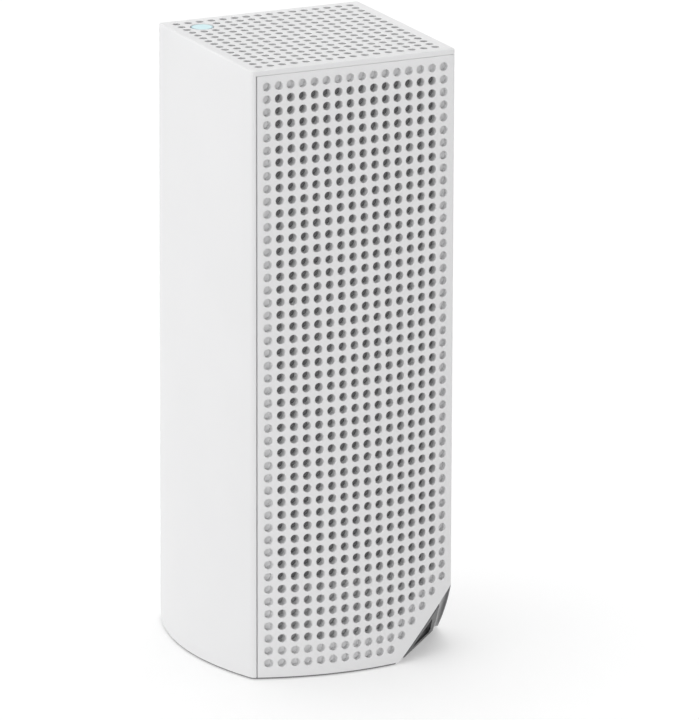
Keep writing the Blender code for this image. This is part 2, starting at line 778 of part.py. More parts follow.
def slab(name, side, x, z, size, near, far, finish):
    near, far = sorted((side * near, side * far))
    return box(name, (x - size / 2, near, z - size / 2), (x + size / 2, far, z + size / 2), finish)


def make_memory_chips():
    near = BOARD / 2 + FIT
    for index, x in enumerate((-MEMORY_AT[0], MEMORY_AT[0]), 1):
        z = up_board(MEMORY_AT[1])
        slab(f"memory_chip_{index}", -1, x, z, MEMORY_CHIP[0], near, near + MEMORY_CHIP[1], BLACK)


# ---------------------------------------------------------------- antennas, leads and light


def antenna_outline(wide, tall):
    """An inverted-F strip: a stem, a slot beside it and a foot."""
    slot = wide / 4
    return [
        (-wide / 2, 0),
        (wide / 2, 0),
        (wide / 2, tall),
        (-wide / 2, tall),
        (-wide / 2, tall - slot),
        (slot, tall - slot),
        (slot, slot),
        (-slot, slot),
        (-slot, tall / 2),
        (-wide / 2, tall / 2),
    ]


def make_side_antenna(index, turn):
    low = RING_BOTTOM
    antenna = outline(f"antenna_{index}", antenna_outline(ANTENNA_WIDTH, FRAME_TOP - low), ANTENNA, COPPER)
    reach = FRAME_HALF + FIT + ANTENNA / 2
    antenna.rotation_euler = (math.radians(90), 0, turn)
    antenna.location = Matrix.Rotation(turn, 3, "Z") @ Vector((0, -reach, low))
    return antenna


def make_top_antenna(index, x, y):
    wide, tall = TOP_ANTENNA
    antenna = outline(f"antenna_{index}", antenna_outline(tall, wide), ANTENNA, COPPER)
    antenna.rotation_euler.z = math.radians(-90)
    antenna.location = (x, y, FRAME_TOP + FIT + ANTENNA / 2)
    return antenna


def make_antennas():
    for index, turn in enumerate((0, 90, 180, 270), 1):
        make_side_antenna(index, math.radians(turn))
    for index, (x, y) in zip((5, 6), lead_holes()):
        make_top_antenna(index, x + LEAD_HOLE, y)


def make_leads():
    z = BOARD_TOP - LEAD_HEIGHT
    off = BOARD / 2 + LEAD_OFF_BOARD
    reach = FRAME_HALF - LEAD_RADIUS
    third = BOARD_HALF / 3
    sides = [
        [(third / 2, -reach, z), (third / 2, -reach / 2, z - LEAD_HEIGHT / 4), (third / 2, -off, z)],
        [(reach, -off, z), (BOARD_HALF, -2 * off, z), (BOARD_HALF - third / 2, -off, z)],
        [(-third / 2, reach, z), (-third / 2, reach / 2, z - LEAD_HEIGHT / 4), (-third / 2, off, z)],
        [(-reach, off, z), (-BOARD_HALF, 2 * off, z), (-BOARD_HALF + third / 2, off, z)],
    ]
    for index, (x, y), side in zip((5, 6), lead_holes(), (-1, 1)):
        start = (x + LEAD_HOLE / 2, y, FRAME_TOP + LEAD_HOLE / 2)
        sides.append([start, *through_hole(x, y), (x, side * off, z)])
    for index, route in enumerate(sides, 1):
        tube(f"antenna_lead_{index}", route, LEAD_RADIUS, BLACK)


def through_hole(x, y):
    """Two points of a lead that drops through a hole in the frame's top plate."""
    return [(x, y, FRAME_TOP + LEAD_RADIUS), (x, y, FRAME_TOP - FRAME_PLATE - LEAD_RADIUS)]


def make_led_cable():
    x, y = lead_holes()[2]
    start_x, start_y = -WINDOW_AT + LED_BOARD[0] / 2 + LEAD_HOLE / 4, WINDOW_AT - LED_BOARD[0] / 4
    start = (start_x, start_y, FRAME_TOP + LEAD_HOLE / 2)
    end = (x, BOARD / 2 + LEAD_OFF_BOARD, BOARD_TOP - LEAD_HEIGHT)
    return tube("led_cable", [start, *through_hole(x, y), end], LEAD_RADIUS, WIRE)


def make_light():
    centre = (-WINDOW_AT, WINDOW_AT)
    low = FRAME_TOP + FIT
    block("led_board", centre, (LED_BOARD[0], LED_BOARD[0]), low, low + LED_BOARD[1], GREEN)
    low += LED_BOARD[1] + FIT
    block("status_led", centre, (LED[0], LED[0]), low, low + LED[1], CLEAR)
    low += LED[1] + FIT
    high = HEIGHT - TOP_WALL - FIT - WINDOW_FLANGE_HEIGHT - FIT
    cylinder("light_guide", GUIDE_DIAMETER, centre, low, high, CLEAR)


# ---------------------------------------------------------------- assembly

clear_scene()
PARTS = new_collection("wifi_tower")
CUTTERS = new_collection("cutters")
WHITE = material("white shell", (0.83, 0.83, 0.83), 0.45)
GREY = material("grey base plastic", (0.35, 0.35, 0.36), 0.55)
DARK = material("dark frame plastic", (0.03, 0.03, 0.033), 0.5)
BLACK = material("black plastic", (0.015, 0.015, 0.016), 0.4)
RED = material("red button", (0.5, 0.03, 0.02), 0.4)
RUBBER = material("grey rubber", (0.12, 0.12, 0.12), 0.85)
CLEAR = material("cyan diffuser", (0.62, 0.85, 0.88), 0.3)
GREEN = material("circuit board", (0.01, 0.12, 0.05), 0.4)
ANODISED = material("black anodised aluminium", (0.02, 0.02, 0.02), 0.4, 1)
STEEL = material("zinc plated steel", (0.6, 0.6, 0.58), 0.35, 1)
TIN = material("tinned shield", (0.6, 0.6, 0.58), 0.3, 1)
COPPER = material("copper strip", (0.72, 0.4, 0.25), 0.3, 1)
PAD = material("thermal pad", (0.3, 0.4, 0.55), 0.8)
PAPER = material("blank label", (0.75, 0.75, 0.75), 0.7)
WIRE = material("wire sleeve", (0.6, 0.6, 0.6), 0.5)

make_shell()
make_vent_panel()
make_window()
make_base_tray()
make_foot()
make_label()
for number, leg_place in enumerate(LEGS, 1):
    make_screw(f"base_screw_{number}", leg_place, BAY_TOP - FIT, STEEL)
for number, jack_place in enumerate(ethernet_places(), 1):
    make_ethernet_jack(f"ethernet_jack_{number}", jack_place)
make_dc_jack()
make_switch_body()
make_rocker()
make_button()
make_tact()
make_io_board()
make_frame()
make_main_board()
make_connector()
make_heatsink("heatsink_front", -1)
make_heatsink("heatsink_rear", 1)
for number, screw_place in enumerate(sink_screw_places(), 1):
    make_sink_screw(f"heatsink_screw_{number}", screw_place)
make_shields()
make_memory_chips()
make_antennas()
make_leads()
make_led_cable()
make_light()
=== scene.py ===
"""Looks of the square router tower: perforated shell and panel, materials, lights and camera.

Metres, +Z up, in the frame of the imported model. The tower is symmetric about the upright plane through
its corners at (-X, +Y) and (+X, -Y), so a point (x, y) of one vented side is (-y, -x) on the other.
"""

import math

import bmesh
import bpy
from mathutils import Matrix, Vector


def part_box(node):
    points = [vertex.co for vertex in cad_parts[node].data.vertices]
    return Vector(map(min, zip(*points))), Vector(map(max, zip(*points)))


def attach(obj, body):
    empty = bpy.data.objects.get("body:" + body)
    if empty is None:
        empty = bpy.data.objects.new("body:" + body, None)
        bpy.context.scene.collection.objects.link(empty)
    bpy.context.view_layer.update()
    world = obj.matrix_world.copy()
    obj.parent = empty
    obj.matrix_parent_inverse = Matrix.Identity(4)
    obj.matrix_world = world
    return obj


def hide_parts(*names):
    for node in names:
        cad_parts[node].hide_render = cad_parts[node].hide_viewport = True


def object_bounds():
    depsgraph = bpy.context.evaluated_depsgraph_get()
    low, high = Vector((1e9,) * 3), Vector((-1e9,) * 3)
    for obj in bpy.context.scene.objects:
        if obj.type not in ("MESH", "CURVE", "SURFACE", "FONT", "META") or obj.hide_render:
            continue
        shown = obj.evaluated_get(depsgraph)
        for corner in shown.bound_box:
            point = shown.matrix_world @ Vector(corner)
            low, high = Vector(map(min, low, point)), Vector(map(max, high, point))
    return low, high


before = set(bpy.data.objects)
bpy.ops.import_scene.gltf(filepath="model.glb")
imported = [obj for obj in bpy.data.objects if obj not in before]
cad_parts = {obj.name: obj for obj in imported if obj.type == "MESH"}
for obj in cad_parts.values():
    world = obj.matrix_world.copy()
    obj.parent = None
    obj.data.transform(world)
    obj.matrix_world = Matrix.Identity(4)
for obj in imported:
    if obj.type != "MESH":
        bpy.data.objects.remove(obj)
CAD_BOX = [list(corner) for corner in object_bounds()]

# Sizes of the casing, the same as in the CAD model
CORNER_HALF = 0.03283  # from the axis to a side, at the corners
BASE_BULGE = 0.0068  # how far a side's middle stands out past its corners at the table
CORNER_ROUND = 0.001
WALL = 0.0023
TOP_WALL = 0.0023
SHELL_BAND = 0.0012  # how far the shell wraps on to a vented side
SEAM = 0.0004  # open line between the shell and the vented panel
HOOK = 0.0002  # how far the vented panel's edge reaches in behind the wall
NOTCH_HEIGHT = 0.0206

# Places read from the frame
PANEL_RAISED = 0.0002  # takes up most of the gap that the CAD model keeps above the panel
RIM_SEAM = 0.00007  # open line between the panel and the rim above it
HEIGHT = CAD_BOX[1][2]
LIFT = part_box("main_shell")[0].z
PANEL_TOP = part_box("vent_panel")[1].z + PANEL_RAISED
RIM_FOOT = PANEL_TOP + RIM_SEAM
WINDOW_LOW, WINDOW_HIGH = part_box("status_window")
WINDOW_AT = (WINDOW_LOW + WINDOW_HIGH) / 2

# Fine sizes that the CAD model leaves out
EDGE_ROUND = 0.00025
EDGE_STEP = 0.3  # where a rounded edge has its middle line, as a share of the rounding
TOP_ROUND = 0.0003
# The trim and the seal are dark pieces in the cut corner: painted shade, standing in for the shade on the
# walls' cut faces.
NOTCH_SKIN = 0.0002  # how much of the wall is white at the cut corner
NOTCH_SHADE_DEPTH = 0.0006  # how far in from the cut the dark trim and the seal behind it reach; both are painted shade
SHADE_TRIM_WIDTH = 0.001  # the seal takes the rest of the wall
LINING_SUNK = 0.00015  # how far below the cut the trim and the seal lie
TRAY_PAINTED_SHADE_DEPTHS = (0.0012, 0.0006)  # depths below the cut where the tray's painted shade starts and is darkest
RIM_GAP = 0.00003  # between the walls and a painted-shade lining or the dark painted-shade rim under them
SHADOW_RIM_LIFT = 0.0002  # from the table to the dark rim under the walls, which is painted shade
SHADOW_RIM_INSET = 0.0004
MESH_GAP = 0.00012
MESH_SHEET = 0.0002

# Vent holes and window
PITCH = 0.00381
HALF_CELL = PITCH / 2
SIDE_HOLE_RADIUS = 0.00127
TOP_HOLE_RADIUS = 0.00118
SIDE_COLUMNS = 16
SIDE_ROWS = 47
FIRST_COLUMN = -0.02815
FIRST_ROW_DOWN = 0.00507  # from the top to the highest row of holes in a side
FIRST_ROW = HEIGHT - FIRST_ROW_DOWN
BLIND_DEPTH = 0.002
LIP = 0.00012
TOP_LIP = 0.00003
HOLE_SIDES = 16
TOP_HOLE_SIDES = 24
CUT_SUM = 56  # column plus row of the last hole along the cut corner
GRID_SHIFT = 0.00018  # how far the hole grid in the top lies towards the smooth sides
WINDOW_CELLS = (1, 2)  # cells that the window takes, counted from the corner beside it
WINDOW_RADIUS = 0.00325
WINDOW_GAP = 0.0003
WINDOW_LIP = 0.0002
WINDOW_SIDES = 48

# Mesh making
SHARP = math.radians(35)
WELD_STEPS = 1e7  # in a metre: points are made one when they round to the same step
CLOSE = 2e-6  # how far from its plane a point on the panel's edge may lie
CORNER_STEPS = 4  # in each half of the panel's rounded corner
INNER_COLUMNS = 24  # along a side of a surface that is hidden or nearly so
INNER_LEVELS = 24
WEDGE_LEVELS = 12
SHELL_LEVELS = 60
TOP_ROUND_STEPS = 5
CUTTER_LOW = -0.02  # the inside's cutters start this far below the table
LINING_CUTTER_HIGH = 0.05
WEDGE_LOW = -0.001
WEDGE_HIGH = 0.03
PAST_CUTS = (-0.01, 0.04)  # heights between which the space past both cuts is built

# Light
SKY_STRENGTH = 2.38
SKY_FALL = 2.0
SKY_TILT = 0.25
SKY_BELOW = 0.26  # share of the sky's strength that is left under the horizon
SKY_DIM_FROM = -0.03
SKY_DIM_TO = -0.15
FLOOR_WHITE = 0.7
FLOOR_GLOW = 0.31
GLOW_FROM = 0.030  # from the tower's axis: nothing glows under its middle
GLOW_FULL = 0.036


# ---------------------------------------------------------------- the casing's curved sides


def bulge(z):
    down = (HEIGHT - z) / HEIGHT
    return BASE_BULGE * down * (3 - down) / 2


def reach(u, z, half=CORNER_HALF):
    """From the axis to a side, at height z and this far along the side from its middle."""
    return half + bulge(z) * (1 - (u / half) ** 2)


def corner_arc(t, z, depth=0.0):
    """A point of the rounded corner at (+X, -Y), t from 0 on the -Y side to 1 on the +X side."""
    u = CORNER_HALF - CORNER_ROUND
    start = Vector((u, -(reach(u, z) - depth), z))
    middle = Vector((CORNER_HALF - depth, depth - CORNER_HALF, z))
    end = Vector((-start.y, -start.x, z))
    return start * (1 - t) ** 2 + middle * 2 * t * (1 - t) + end * t**2


def rounding(distance, radius):
    """How deep a rounded edge lies below the surface, this far in from the edge."""
    short = max(radius - distance, 0.0)
    return radius - math.sqrt(radius * radius - short * short)


# ---------------------------------------------------------------- mesh helpers


def smooth(mesh):
    mesh.shade_smooth()
    mesh.set_sharp_from_angle(angle=SHARP)


def object_from(bm, name):
    mesh = bpy.data.meshes.new(name)
    bm.to_mesh(mesh)
    bm.free()
    smooth(mesh)
    obj = bpy.data.objects.new(name, mesh)
    bpy.context.scene.collection.objects.link(obj)
    return obj


def welded(faces):
    """A bmesh from faces given as lists of points, with equal points made one."""
    bm = bmesh.new()
    known = {}
    for face in faces:
        verts = []
        for point in face:
            key = tuple(round(value * WELD_STEPS) for value in point)
            if key not in known:
                known[key] = bm.verts.new(point)
            if known[key] not in verts:
                verts.append(known[key])
        if len(verts) > 2:
            bm.faces.new(verts)
    return bm


def boolean(obj, cutter, operation="DIFFERENCE"):
    modifier = obj.modifiers.new(operation.lower(), "BOOLEAN")
    modifier.operation = operation
    modifier.object = cutter
    modifier.solver = "EXACT"
    graph = bpy.context.evaluated_depsgraph_get()
    mesh = bpy.data.meshes.new_from_object(obj.evaluated_get(graph))
    obj.modifiers.clear()
    smooth(mesh)
    obj.data = mesh
    bpy.data.objects.remove(cutter)


# ---------------------------------------------------------------- vent panel


def cell_marks(centre):
    """Grid lines of one cell, where the rays through a hole's corners meet its edges."""
    diagonal = math.tan(math.pi / HOLE_SIDES * 2)
    return [centre + HALF_CELL * share for share in (-1, -diagonal, 0, diagonal)]


def column_at(index):
    return FIRST_COLUMN + index * PITCH


def row_at(index):
    return FIRST_ROW - index * PITCH


def hole_kind(column, row):
    """None, blind or through: the outermost holes and those beside the cut corner are blind."""
    last = min(SIDE_COLUMNS - 1, CUT_SUM - row)
    if column > last:
        return None
    at_edge = column in (0, SIDE_COLUMNS - 1) or row == 0 or row >= SIDE_ROWS - 2
    at_cut = row > CUT_SUM - SIDE_COLUMNS and column >= last - 1
    return "blind" if at_edge or at_cut else "through"


def panel_faces():
    """Faces of the -Y half of the panel, outer skin, inner skin and holes, as lists of points."""
    edge = -CORNER_HALF + SHELL_BAND + SEAM
    inner_half = CORNER_HALF - WALL
    last_column = column_at(SIDE_COLUMNS - 1)
    cells_u = [mark for index in range(SIDE_COLUMNS) for mark in cell_marks(column_at(index))]
    cells_u.append(last_column + HALF_CELL)
    cells_z = [mark for index in reversed(range(SIDE_ROWS)) for mark in cell_marks(row_at(index))]
    cells_z.append(row_at(0) + HALF_CELL)
    near_edge = [0, EDGE_STEP * EDGE_ROUND, EDGE_ROUND]
    outer_u = [edge + step for step in near_edge] + cells_u + [CORNER_HALF - CORNER_ROUND]
    # The last column is blind, so the inside has no lines for its holes
    inner_u = [edge] + [u for u in cells_u if u <= last_column - HALF_CELL] + [inner_half]
    lines_z = [LIFT + step for step in near_edge] + cells_z
    lines_z += [PANEL_TOP - step for step in reversed(near_edge)]

    def worn_ends(z):
        return max(rounding(z - LIFT, EDGE_ROUND), rounding(PANEL_TOP - z, EDGE_ROUND))

    def outer(u, z, depth=0.0):
        worn = max(rounding(u - edge, EDGE_ROUND), worn_ends(z))
        return Vector((u, depth + worn - reach(u, z), z))

    def inner(u, z):
        return Vector((u, -reach(u, z, inner_half), z))

    def hole_of(u, z):
        column = round((u - FIRST_COLUMN) / PITCH)
        row = round((FIRST_ROW - z) / PITCH)
        inside = 0 <= column < SIDE_COLUMNS and 0 <= row < SIDE_ROWS
        return hole_kind(column, row) if inside else None

    faces = []
    skins = ((outer_u, outer, ("blind", "through")), (inner_u, inner, ("through",)))
    for lines_u, place, kinds in skins:
        for u0, u1 in zip(lines_u, lines_u[1:]):
            for z0, z1 in zip(lines_z, lines_z[1:]):
                if hole_of((u0 + u1) / 2, (z0 + z1) / 2) not in kinds:
                    quad = [place(u0, z0), place(u1, z0), place(u1, z1), place(u0, z1)]
                    faces.append(quad if place is outer else quad[::-1])
    for step in range(CORNER_STEPS):
        t0, t1 = step / CORNER_STEPS / 2, (step + 1) / CORNER_STEPS / 2
        for z0, z1 in zip(lines_z, lines_z[1:]):
            corners = ((t0, z0), (t1, z0), (t1, z1), (t0, z1))
            faces.append([corner_arc(t, z, worn_ends(z)) for t, z in corners])
    for column in range(SIDE_COLUMNS):
        for row in range(SIDE_ROWS):
            kind = hole_kind(column, row)
            if kind:
                faces += hole_faces(column_at(column), row_at(row), kind, outer, inner)
    return faces


def hole_faces(u, z, kind, outer, inner):
    """The skin around one hole, its lip, its wall and, in a blind hole, its floor."""

    def square(angle):
        x, y = math.cos(angle), math.sin(angle)
        size = HALF_CELL / max(abs(x), abs(y))
        return u + x * size, z + y * size

    def circle(angle, radius):
        return u + radius * math.cos(angle), z + radius * math.sin(angle)

    radius = SIDE_HOLE_RADIUS
    angles = [2 * math.pi * step / HOLE_SIDES for step in range(HOLE_SIDES)]
    rings = [
        [outer(*square(angle)) for angle in angles],
        [outer(*circle(angle, radius + LIP)) for angle in angles],
        [outer(*circle(angle, radius), LIP) for angle in angles],
    ]
    if kind == "blind":
        rings.append([outer(*circle(angle, radius), BLIND_DEPTH) for angle in angles])
    else:
        rings.append([inner(*circle(angle, radius)) for angle in angles])
        rings.append([inner(*square(angle)) for angle in angles])
    faces = [
        [low[step - 1], low[step], high[step], high[step - 1]]
        for low, high in zip(rings, rings[1:])
        for step in range(HOLE_SIDES)
    ]
    if kind == "blind":
        faces.append(rings[-1])
    return faces


def mirrored(faces):
    return [[Vector((-point.y, -point.x, point.z)) for point in reversed(face)] for face in faces]


def make_panel():
    """The -Y wall, cut at 45 degrees for the cables, and its mirror image."""
    bm = welded(panel_faces())
    corner = Vector((CORNER_HALF, 0, NOTCH_HEIGHT))
    bmesh.ops.bisect_plane(
        bm,
        geom=bm.verts[:] + bm.edges[:] + bm.faces[:],
        dist=1e-7,
        plane_co=corner,
        plane_no=Vector((1, 0, -1)),
        clear_outer=True,
    )
    half = [[vert.co.copy() for vert in face.verts] for face in bm.faces]
    bm.free()
    bm = welded(half + mirrored(half))
    close_panel(bm)
    bmesh.ops.recalc_face_normals(bm, faces=bm.faces)
    panel = object_from(bm, "vent_panel_skin")
    # A rebate in the cut faces holds the dark trim and seal, which are painted shade.
    boolean(panel, notch_wedge("rebate", CORNER_HALF - NOTCH_SKIN, NOTCH_SHADE_DEPTH))
    return panel


def notch_wedge(name, half, inward, low=WEDGE_LOW):
    """What lies past both cuts, or past them moved inward, and no further out than half."""
    core = inner_solid(name, half, low, WEDGE_HIGH, WEDGE_LEVELS)
    start = CORNER_HALF - NOTCH_HEIGHT - inward * math.sqrt(2)
    far = 2 * CORNER_HALF
    squares = []
    for z in PAST_CUTS:
        near = start + z
        outline = ((near, -far), (far, -far), (far, -near), (near, -near))
        squares.append([Vector((x, y, z)) for x, y in outline])
    boolean(core, loft("past_cuts", squares), "INTERSECT")
    return core


def make_shade_lining(name, first, last):
    """A dark strip that lines the cut corner, between these two depths below the walls' outside: painted
    shade on the cut faces.
    """
    strip = notch_wedge(name, CORNER_HALF - first - RIM_GAP, NOTCH_SHADE_DEPTH - RIM_GAP, LIFT + RIM_GAP)
    boolean(strip, notch_wedge("lining_opening", 2 * CORNER_HALF, LINING_SUNK))
    boolean(strip, inner_solid("lining_inside", CORNER_HALF - last, CUTTER_LOW, LINING_CUTTER_HIGH))
    return strip


def make_shadow_gap_rim():
    """A dark ring that shows as a line under the walls: painted shade, standing in for the shadow in the gap
    between the walls and the table.
    """
    rim = loft("shadow_gap_rim", [ring(z, CORNER_HALF, SHADOW_RIM_INSET) for z in (SHADOW_RIM_LIFT, LIFT - RIM_GAP)])
    inside = [ring(z, CORNER_HALF - WALL, round_corner=False) for z in (-LIFT, 2 * LIFT)]
    boolean(rim, loft("rim_inside", inside))
    boolean(rim, notch_wedge("rim_opening", 2 * CORNER_HALF, NOTCH_SHADE_DEPTH))
    return rim


def close_panel(bm):
    """Joins the outer and inner skins around the panel's edges, each of which lies in one plane."""
    edge = CORNER_HALF - SHELL_BAND - SEAM
    foot = CORNER_HALF - NOTCH_HEIGHT
    rim = {vert for bm_edge in bm.edges if len(bm_edge.link_faces) == 1 for vert in bm_edge.verts}

    def along(vert):
        return vert.co.x + vert.co.y

    def upwards(vert):
        return vert.co.z

    def fill(level, order, within=lambda vert: True):
        verts = [vert for vert in rim if abs(level(vert.co)) < CLOSE and within(vert)]
        outer = sorted((vert for vert in verts if not is_inner(vert.co)), key=order)
        inner = sorted((vert for vert in verts if is_inner(vert.co)), key=order, reverse=True)
        bm.faces.new(outer + inner)

    fill(lambda co: co.z - PANEL_TOP, along)
    fill(lambda co: co.x + edge, upwards)
    fill(lambda co: co.y - edge, upwards)
    fill(lambda co: co.z - LIFT, along, lambda vert: along(vert) < 0)
    fill(lambda co: co.z - LIFT, along, lambda vert: along(vert) > 0)
    fill(lambda co: co.x - co.z - foot, upwards, lambda vert: along(vert) < CLOSE)
    fill(lambda co: -co.y - co.z - foot, upwards, lambda vert: along(vert) > -CLOSE)


def is_inner(point):
    u, out = (point.x, -point.y) if -point.y >= point.x else (-point.y, point.x)
    return reach(u, point.z) - out > WALL / 2


# ---------------------------------------------------------------- shell


def ring(z, half, depth=0.0, round_corner=True, columns=40):
    """The casing's outline at height z as points, anticlockwise from the corner at (-X, -Y)."""
    quarter = []
    limit = half - CORNER_ROUND if round_corner else half
    for step in range(columns + 1):
        u = -limit + 2 * limit * step / columns
        quarter.append(Vector((u, -(reach(u, z, half) - depth), z)))
    if round_corner:
        quarter += [corner_arc(t, z, depth) for t in (0.2, 0.4, 0.6, 0.8)]
    else:
        quarter.pop()
    points = []
    for turn in range(4):
        spin = Matrix.Rotation(turn * math.pi / 2, 3, "Z")
        points += [spin @ point for point in quarter]
    return points


def loft(name, rings):
    faces = []
    for low, high in zip(rings, rings[1:]):
        count = len(low)
        faces += [[low[i - 1], low[i], high[i], high[i - 1]] for i in range(count)]
    faces.append(rings[0][::-1])
    faces.append(rings[-1])
    bm = welded(faces)
    bmesh.ops.recalc_face_normals(bm, faces=bm.faces)
    return object_from(bm, name)


def levels(low, high, count):
    return [low + (high - low) * step / count for step in range(count + 1)]


def inner_solid(name, half, low, high, count=INNER_LEVELS):
    """A solid of the casing's shape with sharp corners, this far from the axis, between two heights."""
    heights = levels(low, high, count)
    return loft(name, [ring(z, half, round_corner=False, columns=INNER_COLUMNS) for z in heights])


def vented_zone():
    """The two vented walls as an L-shaped prism that stops under the rim."""
    edge = CORNER_HALF - SHELL_BAND
    inner = CORNER_HALF - WALL - HOOK - SEAM
    far = 2 * CORNER_HALF
    outline = [(-edge, -far), (far, -far), (far, edge), (inner, edge), (inner, -inner), (-edge, -inner)]
    low = [Vector((x, y, -HEIGHT)) for x, y in outline]
    high = [Vector((x, y, RIM_FOOT)) for x, y in outline]
    return loft("zone", [low, high])


def top_holes():
    """One mesh of flared plugs, one for each hole in the top and one for the window."""
    offset = PITCH * (SIDE_COLUMNS - 1) / 2
    taken = [(column, SIDE_COLUMNS - 1 - row) for column in WINDOW_CELLS for row in WINDOW_CELLS]
    faces = []
    for column in range(SIDE_COLUMNS):
        for row in range(SIDE_COLUMNS):
            if (column, row) not in taken:
                x = column * PITCH - offset - GRID_SHIFT
                y = row * PITCH - offset + GRID_SHIFT
                faces += plug(Vector((x, y, 0)), TOP_HOLE_RADIUS, TOP_LIP, TOP_HOLE_SIDES)
    window = Vector((WINDOW_AT.x, WINDOW_AT.y, 0))
    faces += plug(window, WINDOW_RADIUS + WINDOW_GAP, WINDOW_LIP, WINDOW_SIDES)
    bm = welded(faces)
    bmesh.ops.recalc_face_normals(bm, faces=bm.faces)
    return object_from(bm, "plugs")


def plug(centre, radius, lip, sides):
    above = TOP_WALL / 2
    profile = [
        (radius, HEIGHT - 2 * TOP_WALL),
        (radius, HEIGHT - lip),
        (radius + lip + above, HEIGHT + above),
    ]
    angles = [2 * math.pi * step / sides for step in range(sides)]
    rings = [
        [centre + Vector((size * math.cos(angle), size * math.sin(angle), z)) for angle in angles]
        for size, z in profile
    ]
    faces = [
        [low[i - 1], low[i], high[i], high[i - 1]]
        for low, high in zip(rings, rings[1:])
        for i in range(sides)
    ]
    return faces + [rings[0][::-1], rings[-1]]


def make_shell():
    foot = [(0, 0.35), (EDGE_STEP, 0.1), (1, 0)]  # height above the lower edge, and depth, in roundings
    rings = [ring(LIFT + up * EDGE_ROUND, CORNER_HALF, depth * EDGE_ROUND) for up, depth in foot]
    rings += [ring(z, CORNER_HALF) for z in levels(LIFT + EDGE_ROUND, HEIGHT - TOP_ROUND, SHELL_LEVELS)[1:]]
    for step in range(1, TOP_ROUND_STEPS + 1):
        angle = math.pi / 2 * step / TOP_ROUND_STEPS
        z = HEIGHT - TOP_ROUND * (1 - math.sin(angle))
        rings.append(ring(z, CORNER_HALF, TOP_ROUND * (1 - math.cos(angle))))
    shell = loft("main_shell_skin", rings)
    boolean(shell, inner_solid("hollow", CORNER_HALF - WALL, CUTTER_LOW, HEIGHT - TOP_WALL))
    boolean(shell, vented_zone())
    boolean(shell, top_holes())
    return shell


def make_vent_mesh():
    """The fine grey mesh behind the vented walls."""
    low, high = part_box("base_tray")[1].z + MESH_GAP, HEIGHT - TOP_WALL - MESH_GAP
    outside = CORNER_HALF - WALL - MESH_GAP
    sheet = inner_solid("vent_mesh", outside, low, high)
    boolean(sheet, inner_solid("mesh_inside", outside - MESH_SHEET, 0, HEIGHT))
    boolean(sheet, vented_zone(), "INTERSECT")
    return sheet


# ---------------------------------------------------------------- materials


class Finish:
    """A Principled material whose tone, gloss and relief come from textures in object space."""

    def __init__(self, name, metallic=0.0):
        self.mat = bpy.data.materials.new(name)
        self.mat.use_nodes = True
        self.nodes, self.links = self.mat.node_tree.nodes, self.mat.node_tree.links
        self.shader = self.nodes["Principled BSDF"]
        self.shader.inputs["Metallic"].default_value = metallic
        self.place = self.nodes.new("ShaderNodeTexCoord").outputs["Object"]

    def add(self, kind, **values):
        node = self.nodes.new(kind)
        for name, value in values.items():
            socket = node.inputs[name.replace("_", " ")]
            if isinstance(value, bpy.types.NodeSocket):
                self.links.new(value, socket)
            else:
                socket.default_value = value
        return node

    def noise(self, scale, detail=3.0, stretch=(1, 1, 1)):
        spread = self.add("ShaderNodeMapping", Vector=self.place, Scale=stretch)
        texture = self.add("ShaderNodeTexNoise", Vector=spread.outputs[0], Scale=scale, Detail=detail)
        return texture.outputs["Fac"]

    def colour(self, factor, first, second, low=0.0, high=1.0):
        """Blends two colours as the factor goes from low to high, and gives them to the shader."""
        share = self.add("ShaderNodeMapRange", Value=factor)
        share.inputs["From Min"].default_value = low
        share.inputs["From Max"].default_value = high
        mix = self.nodes.new("ShaderNodeMix")
        mix.data_type = "RGBA"
        self.links.new(share.outputs["Result"], mix.inputs["Factor"])
        for socket, value in zip((mix.inputs["A"], mix.inputs["B"]), (first, second)):
            if isinstance(value, bpy.types.NodeSocket):
                self.links.new(value, socket)
            else:
                socket.default_value = (*value, 1)
        self.links.new(mix.outputs["Result"], self.shader.inputs["Base Color"])
        return mix.outputs["Result"]

    def gloss(self, factor, low, high):
        spread = self.add("ShaderNodeMapRange", Value=factor)
        spread.inputs["To Min"].default_value = low
        spread.inputs["To Max"].default_value = high
        self.links.new(spread.outputs["Result"], self.shader.inputs["Roughness"])

    def relief(self, height, distance, strength=0.5):
        bump = self.add("ShaderNodeBump", Height=height, Distance=distance, Strength=strength)
        self.links.new(bump.outputs["Normal"], self.shader.inputs["Normal"])


def toned(colour, change):
    return [min(channel * (1 + change), 1) for channel in colour]


def plastic(name, colour, roughness, grain=0.02, relief=0.15):
    """Moulded plastic: a fine spark-eroded grain with slightly uneven gloss and tone."""
    finish = Finish(name)
    broad = finish.noise(40, 4)
    finish.colour(broad, toned(colour, -grain), toned(colour, grain), 0.3, 0.7)
    finish.gloss(broad, roughness - 0.05, roughness + 0.05)
    finish.relief(finish.noise(4500), 0.00002, relief)
    return finish.mat


def rubber(name, colour):
    finish = Finish(name)
    speck = finish.noise(1500, 6)
    finish.colour(speck, toned(colour, -0.3), toned(colour, 0.3), 0.35, 0.65)
    finish.gloss(speck, 0.75, 0.95)
    finish.relief(speck, 0.00005)
    return finish.mat


def brushed(name, colour, roughness, along=(1, 1, 1), metallic=1.0):
    """Metal with fine marks drawn out along one axis."""
    finish = Finish(name, metallic)
    marks = finish.noise(900, 5, along)
    blotch = finish.noise(120, 3)
    finish.colour(blotch, toned(colour, -0.12), toned(colour, 0.08), 0.3, 0.7)
    finish.gloss(marks, roughness - 0.1, roughness + 0.12)
    finish.relief(marks, 0.00001)
    return finish.mat


